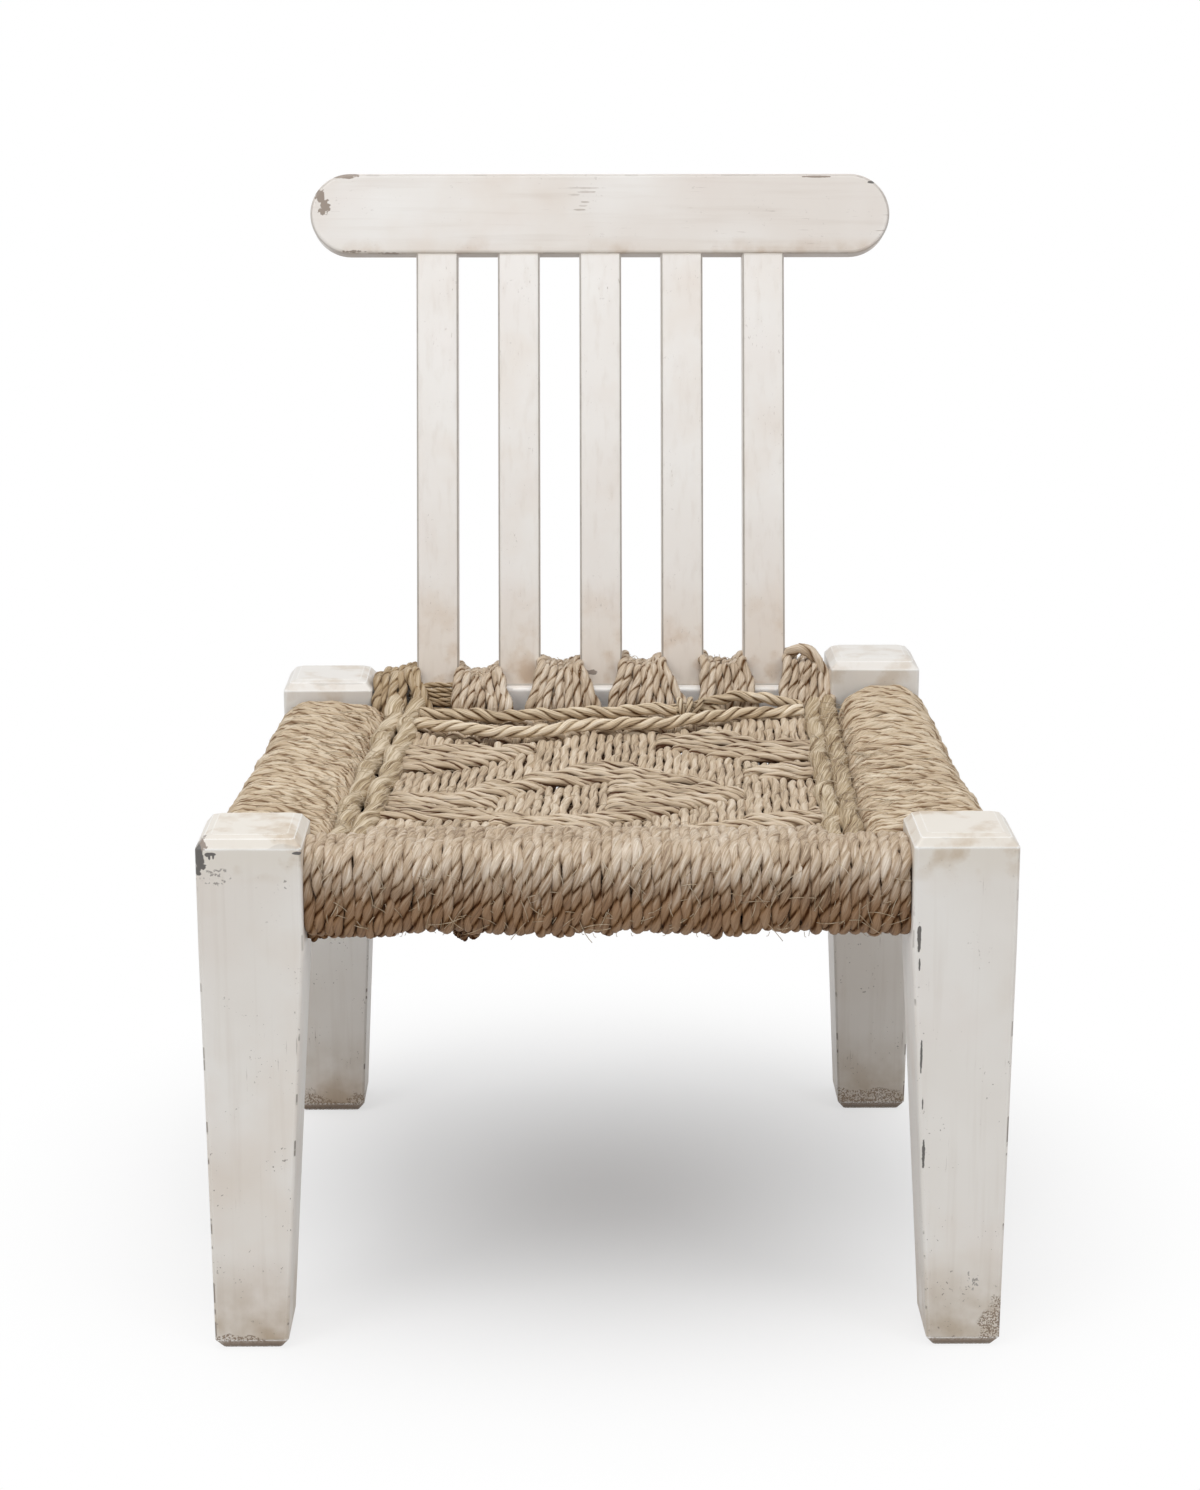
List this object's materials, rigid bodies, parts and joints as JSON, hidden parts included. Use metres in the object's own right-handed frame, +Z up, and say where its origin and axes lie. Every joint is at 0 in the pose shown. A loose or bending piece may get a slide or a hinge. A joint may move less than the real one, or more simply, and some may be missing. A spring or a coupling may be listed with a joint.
{
  "type": "lounge chair",
  "caption": "Low armless lounge chair: chunky painted wooden legs, raked slat back with a rounded crest rail, and a woven jute rope seat.",
  "frame": {"origin": "on the floor, under the middle of the whole chair", "axes": "+X to the right as seen from the front, +Y to the back, +Z up; the seat faces -Y"},
  "size_m": [0.56, 0.6116, 0.7852],
  "materials": {
    "painted_wood": "white paint on wood, worn through at edges and feet",
    "jute_rope": "natural twisted jute rope",
    "jute_weave": "natural jute rope woven in a diamond pattern",
    "jute_cord": "thick twisted jute cord"
  },
  "bodies": {
    "root": {"back_cross_cord": "jute_cord", "back_slat_1": "painted_wood", "back_slat_2": "painted_wood", "back_slat_3": "painted_wood", "back_slat_4": "painted_wood", "back_slat_5": "painted_wood", "crest_rail": "painted_wood", "front_cross_cord": "jute_cord", "front_left_leg": "painted_wood", "front_rail": "painted_wood", "front_rail_wrap_1": "jute_rope", "front_rail_wrap_2": "jute_rope", "front_rail_wrap_3": "jute_rope", "front_right_leg": "painted_wood", "left_inner_edge_cord": "jute_cord", "left_outer_edge_cord": "jute_cord", "left_rail": "painted_wood", "left_rail_wrap_1": "jute_rope", "left_rail_wrap_2": "jute_rope", "left_rail_wrap_3": "jute_rope", "left_rope_knot": "jute_rope", "middle_rope_knot": "jute_rope", "rear_left_leg": "painted_wood", "rear_rail": "painted_wood", "rear_rail_wrap_1": "jute_rope", "rear_rail_wrap_2": "jute_rope", "rear_rail_wrap_3": "jute_rope", "rear_rail_wrap_4": "jute_rope", "rear_rail_wrap_5": "jute_rope", "rear_rail_wrap_6": "jute_rope", "rear_right_leg": "painted_wood", "right_inner_edge_cord": "jute_cord", "right_outer_edge_cord": "jute_cord", "right_rail": "painted_wood", "right_rail_wrap_1": "jute_rope", "right_rail_wrap_2": "jute_rope", "right_rail_wrap_3": "jute_rope", "woven_panel": "jute_weave"}
  },
  "joints": []
}
